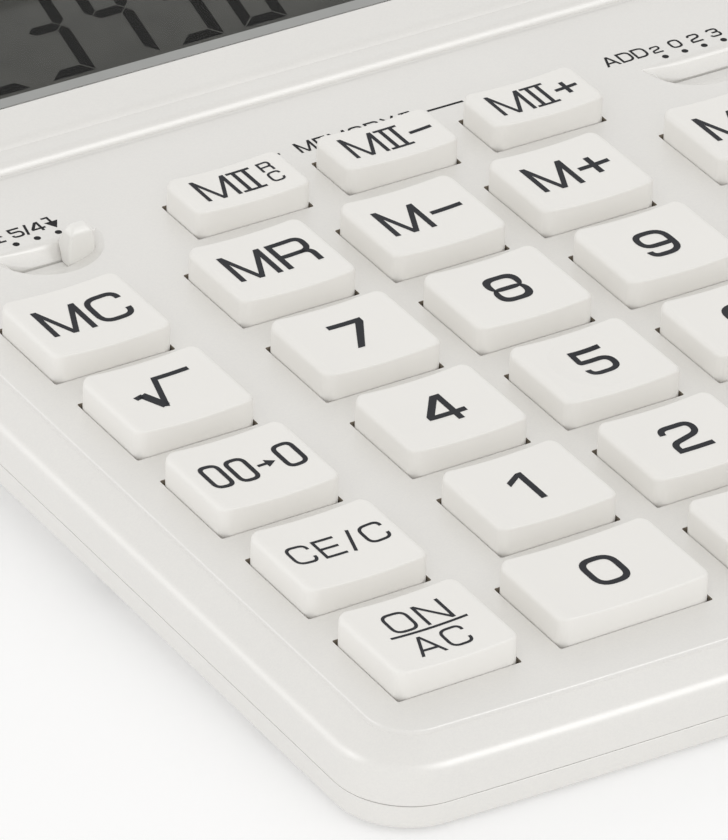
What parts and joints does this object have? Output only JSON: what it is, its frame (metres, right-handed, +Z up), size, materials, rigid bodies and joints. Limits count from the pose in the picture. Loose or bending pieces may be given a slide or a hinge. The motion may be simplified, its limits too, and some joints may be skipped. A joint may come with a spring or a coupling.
{
  "type": "desktop calculator",
  "caption": "Flat white desktop calculator with sprung keys, slide selectors in finger scoops, a raised sloping display block with a solar panel, and a rear stand on rubber feet.",
  "frame": {"origin": "on the desk below the middle of the case's bounding box", "axes": "+X to the user's right, +Y to the rear, +Z up from the desk"},
  "size_m": [0.153, 0.199, 0.0309],
  "materials": {
    "case_white": "satin pearl white moulded plastic",
    "key_white": "satin white moulded plastic with dark printed legend",
    "knob_white": "satin white moulded plastic",
    "window_clear": "clear acrylic with a printed grey border",
    "lcd_glass": "dark grey-green liquid crystal cell",
    "inner_plastic": "plain moulded plastic",
    "ribbon_film": "printed film",
    "solar_glass": "dark amorphous solar cell on glass",
    "lead_red": "insulated wire",
    "board_brown": "phenolic paper board",
    "chip_black": "black epoxy",
    "capacitor_blue": "sleeved can",
    "mat_rubber": "translucent silicone rubber",
    "cell_steel": "nickel-plated steel can",
    "contact_brass": "spring brass",
    "screw_steel": "zinc-plated steel",
    "foot_rubber": "matte black rubber"
  },
  "bodies": {
    "case": {"top_case": "case_white", "bottom_case": "case_white", "display_window": "window_clear", "lcd_panel": "lcd_glass", "lcd_holder": "inner_plastic", "lcd_screws": "screw_steel", "lcd_ribbon": "ribbon_film", "solar_panel": "solar_glass", "solar_leads": "lead_red", "circuit_board": "board_brown", "chip_blob": "chip_black", "capacitor": "capacitor_blue", "rubber_keymat": "mat_rubber", "button_cell": "cell_steel", "cell_contacts": "contact_brass", "case_screws": "screw_steel", "board_screws": "screw_steel", "rubber_feet": "foot_rubber"},
    "rounding_selector": {"rounding_slider": "knob_white", "rounding_wiper": "contact_brass"},
    "decimal_selector": {"decimal_slider": "knob_white", "decimal_wiper": "contact_brass"},
    "key_m2_recall": {"key_m2_recall": "key_white"},
    "key_m2_minus": {"key_m2_minus": "key_white"},
    "key_m2_plus": {"key_m2_plus": "key_white"},
    "key_mc": {"key_mc": "key_white"},
    "key_mr": {"key_mr": "key_white"},
    "key_m_minus": {"key_m_minus": "key_white"},
    "key_m_plus": {"key_m_plus": "key_white"},
    "key_mark_up": {"key_mark_up": "key_white"},
    "key_grand_total": {"key_grand_total": "key_white"},
    "key_root": {"key_root": "key_white"},
    "key_7": {"key_7": "key_white"},
    "key_8": {"key_8": "key_white"},
    "key_9": {"key_9": "key_white"},
    "key_percent": {"key_percent": "key_white"},
    "key_sign": {"key_sign": "key_white"},
    "key_back": {"key_back": "key_white"},
    "key_4": {"key_4": "key_white"},
    "key_5": {"key_5": "key_white"},
    "key_6": {"key_6": "key_white"},
    "key_times": {"key_times": "key_white"},
    "key_divide": {"key_divide": "key_white"},
    "key_clear_entry": {"key_clear_entry": "key_white"},
    "key_1": {"key_1": "key_white"},
    "key_2": {"key_2": "key_white"},
    "key_3": {"key_3": "key_white"},
    "key_plus": {"key_plus": "key_white"},
    "key_minus": {"key_minus": "key_white"},
    "key_on": {"key_on": "key_white"},
    "key_0": {"key_0": "key_white"},
    "key_00": {"key_00": "key_white"},
    "key_point": {"key_point": "key_white"},
    "key_equals": {"key_equals": "key_white"}
  },
  "joints": [
    {"name": "rounding_selector_slide", "type": "slide", "parent": "case", "child": "rounding_selector", "axis": [1, 0, 0], "range_m": [-0.00606, 0]},
    {"name": "decimal_selector_slide", "type": "slide", "parent": "case", "child": "decimal_selector", "axis": [1, 0, 0], "range_m": [-0.01515, 0]},
    {"name": "key_m2_recall_press", "type": "slide", "parent": "case", "child": "key_m2_recall", "axis": [0, 0.0506, -0.9987], "range_m": [0, 0.0018], "stiffness_N_per_m": 350, "springref_m": -0.0006, "deforming": ["rubber_keymat"]},
    {"name": "key_m2_minus_press", "type": "slide", "parent": "case", "child": "key_m2_minus", "axis": [0, 0.0506, -0.9987], "range_m": [0, 0.0018], "stiffness_N_per_m": 350, "springref_m": -0.0006, "deforming": ["rubber_keymat"]},
    {"name": "key_m2_plus_press", "type": "slide", "parent": "case", "child": "key_m2_plus", "axis": [0, 0.0506, -0.9987], "range_m": [0, 0.0018], "stiffness_N_per_m": 350, "springref_m": -0.0006, "deforming": ["rubber_keymat"]},
    {"name": "key_mc_press", "type": "slide", "parent": "case", "child": "key_mc", "axis": [0, 0.0506, -0.9987], "range_m": [0, 0.0018], "stiffness_N_per_m": 350, "springref_m": -0.0006, "deforming": ["rubber_keymat"]},
    {"name": "key_mr_press", "type": "slide", "parent": "case", "child": "key_mr", "axis": [0, 0.0506, -0.9987], "range_m": [0, 0.0018], "stiffness_N_per_m": 350, "springref_m": -0.0006, "deforming": ["rubber_keymat"]},
    {"name": "key_m_minus_press", "type": "slide", "parent": "case", "child": "key_m_minus", "axis": [0, 0.0506, -0.9987], "range_m": [0, 0.0018], "stiffness_N_per_m": 350, "springref_m": -0.0006, "deforming": ["rubber_keymat"]},
    {"name": "key_m_plus_press", "type": "slide", "parent": "case", "child": "key_m_plus", "axis": [0, 0.0506, -0.9987], "range_m": [0, 0.0018], "stiffness_N_per_m": 350, "springref_m": -0.0006, "deforming": ["rubber_keymat"]},
    {"name": "key_mark_up_press", "type": "slide", "parent": "case", "child": "key_mark_up", "axis": [0, 0.0506, -0.9987], "range_m": [0, 0.0018], "stiffness_N_per_m": 350, "springref_m": -0.0006, "deforming": ["rubber_keymat"]},
    {"name": "key_grand_total_press", "type": "slide", "parent": "case", "child": "key_grand_total", "axis": [0, 0.0506, -0.9987], "range_m": [0, 0.0018], "stiffness_N_per_m": 350, "springref_m": -0.0006, "deforming": ["rubber_keymat"]},
    {"name": "key_root_press", "type": "slide", "parent": "case", "child": "key_root", "axis": [0, 0.0506, -0.9987], "range_m": [0, 0.0018], "stiffness_N_per_m": 350, "springref_m": -0.0006, "deforming": ["rubber_keymat"]},
    {"name": "key_7_press", "type": "slide", "parent": "case", "child": "key_7", "axis": [0, 0.0506, -0.9987], "range_m": [0, 0.0018], "stiffness_N_per_m": 350, "springref_m": -0.0006, "deforming": ["rubber_keymat"]},
    {"name": "key_8_press", "type": "slide", "parent": "case", "child": "key_8", "axis": [0, 0.0506, -0.9987], "range_m": [0, 0.0018], "stiffness_N_per_m": 350, "springref_m": -0.0006, "deforming": ["rubber_keymat"]},
    {"name": "key_9_press", "type": "slide", "parent": "case", "child": "key_9", "axis": [0, 0.0506, -0.9987], "range_m": [0, 0.0018], "stiffness_N_per_m": 350, "springref_m": -0.0006, "deforming": ["rubber_keymat"]},
    {"name": "key_percent_press", "type": "slide", "parent": "case", "child": "key_percent", "axis": [0, 0.0506, -0.9987], "range_m": [0, 0.0018], "stiffness_N_per_m": 350, "springref_m": -0.0006, "deforming": ["rubber_keymat"]},
    {"name": "key_sign_press", "type": "slide", "parent": "case", "child": "key_sign", "axis": [0, 0.0506, -0.9987], "range_m": [0, 0.0018], "stiffness_N_per_m": 350, "springref_m": -0.0006, "deforming": ["rubber_keymat"]},
    {"name": "key_back_press", "type": "slide", "parent": "case", "child": "key_back", "axis": [0, 0.0506, -0.9987], "range_m": [0, 0.0018], "stiffness_N_per_m": 350, "springref_m": -0.0006, "deforming": ["rubber_keymat"]},
    {"name": "key_4_press", "type": "slide", "parent": "case", "child": "key_4", "axis": [0, 0.0506, -0.9987], "range_m": [0, 0.0018], "stiffness_N_per_m": 350, "springref_m": -0.0006, "deforming": ["rubber_keymat"]},
    {"name": "key_5_press", "type": "slide", "parent": "case", "child": "key_5", "axis": [0, 0.0506, -0.9987], "range_m": [0, 0.0018], "stiffness_N_per_m": 350, "springref_m": -0.0006, "deforming": ["rubber_keymat"]},
    {"name": "key_6_press", "type": "slide", "parent": "case", "child": "key_6", "axis": [0, 0.0506, -0.9987], "range_m": [0, 0.0018], "stiffness_N_per_m": 350, "springref_m": -0.0006, "deforming": ["rubber_keymat"]},
    {"name": "key_times_press", "type": "slide", "parent": "case", "child": "key_times", "axis": [0, 0.0506, -0.9987], "range_m": [0, 0.0018], "stiffness_N_per_m": 350, "springref_m": -0.0006, "deforming": ["rubber_keymat"]},
    {"name": "key_divide_press", "type": "slide", "parent": "case", "child": "key_divide", "axis": [0, 0.0506, -0.9987], "range_m": [0, 0.0018], "stiffness_N_per_m": 350, "springref_m": -0.0006, "deforming": ["rubber_keymat"]},
    {"name": "key_clear_entry_press", "type": "slide", "parent": "case", "child": "key_clear_entry", "axis": [0, 0.0506, -0.9987], "range_m": [0, 0.0018], "stiffness_N_per_m": 350, "springref_m": -0.0006, "deforming": ["rubber_keymat"]},
    {"name": "key_1_press", "type": "slide", "parent": "case", "child": "key_1", "axis": [0, 0.0506, -0.9987], "range_m": [0, 0.0018], "stiffness_N_per_m": 350, "springref_m": -0.0006, "deforming": ["rubber_keymat"]},
    {"name": "key_2_press", "type": "slide", "parent": "case", "child": "key_2", "axis": [0, 0.0506, -0.9987], "range_m": [0, 0.0018], "stiffness_N_per_m": 350, "springref_m": -0.0006, "deforming": ["rubber_keymat"]},
    {"name": "key_3_press", "type": "slide", "parent": "case", "child": "key_3", "axis": [0, 0.0506, -0.9987], "range_m": [0, 0.0018], "stiffness_N_per_m": 350, "springref_m": -0.0006, "deforming": ["rubber_keymat"]},
    {"name": "key_plus_press", "type": "slide", "parent": "case", "child": "key_plus", "axis": [0, 0.0506, -0.9987], "range_m": [0, 0.0018], "stiffness_N_per_m": 350, "springref_m": -0.0006, "deforming": ["rubber_keymat"]},
    {"name": "key_minus_press", "type": "slide", "parent": "case", "child": "key_minus", "axis": [0, 0.0506, -0.9987], "range_m": [0, 0.0018], "stiffness_N_per_m": 350, "springref_m": -0.0006, "deforming": ["rubber_keymat"]},
    {"name": "key_on_press", "type": "slide", "parent": "case", "child": "key_on", "axis": [0, 0.0506, -0.9987], "range_m": [0, 0.0018], "stiffness_N_per_m": 350, "springref_m": -0.0006, "deforming": ["rubber_keymat"]},
    {"name": "key_0_press", "type": "slide", "parent": "case", "child": "key_0", "axis": [0, 0.0506, -0.9987], "range_m": [0, 0.0018], "stiffness_N_per_m": 350, "springref_m": -0.0006, "deforming": ["rubber_keymat"]},
    {"name": "key_00_press", "type": "slide", "parent": "case", "child": "key_00", "axis": [0, 0.0506, -0.9987], "range_m": [0, 0.0018], "stiffness_N_per_m": 350, "springref_m": -0.0006, "deforming": ["rubber_keymat"]},
    {"name": "key_point_press", "type": "slide", "parent": "case", "child": "key_point", "axis": [0, 0.0506, -0.9987], "range_m": [0, 0.0018], "stiffness_N_per_m": 350, "springref_m": -0.0006, "deforming": ["rubber_keymat"]},
    {"name": "key_equals_press", "type": "slide", "parent": "case", "child": "key_equals", "axis": [0, 0.0506, -0.9987], "range_m": [0, 0.0018], "stiffness_N_per_m": 350, "springref_m": -0.0006, "deforming": ["rubber_keymat"]}
  ]
}
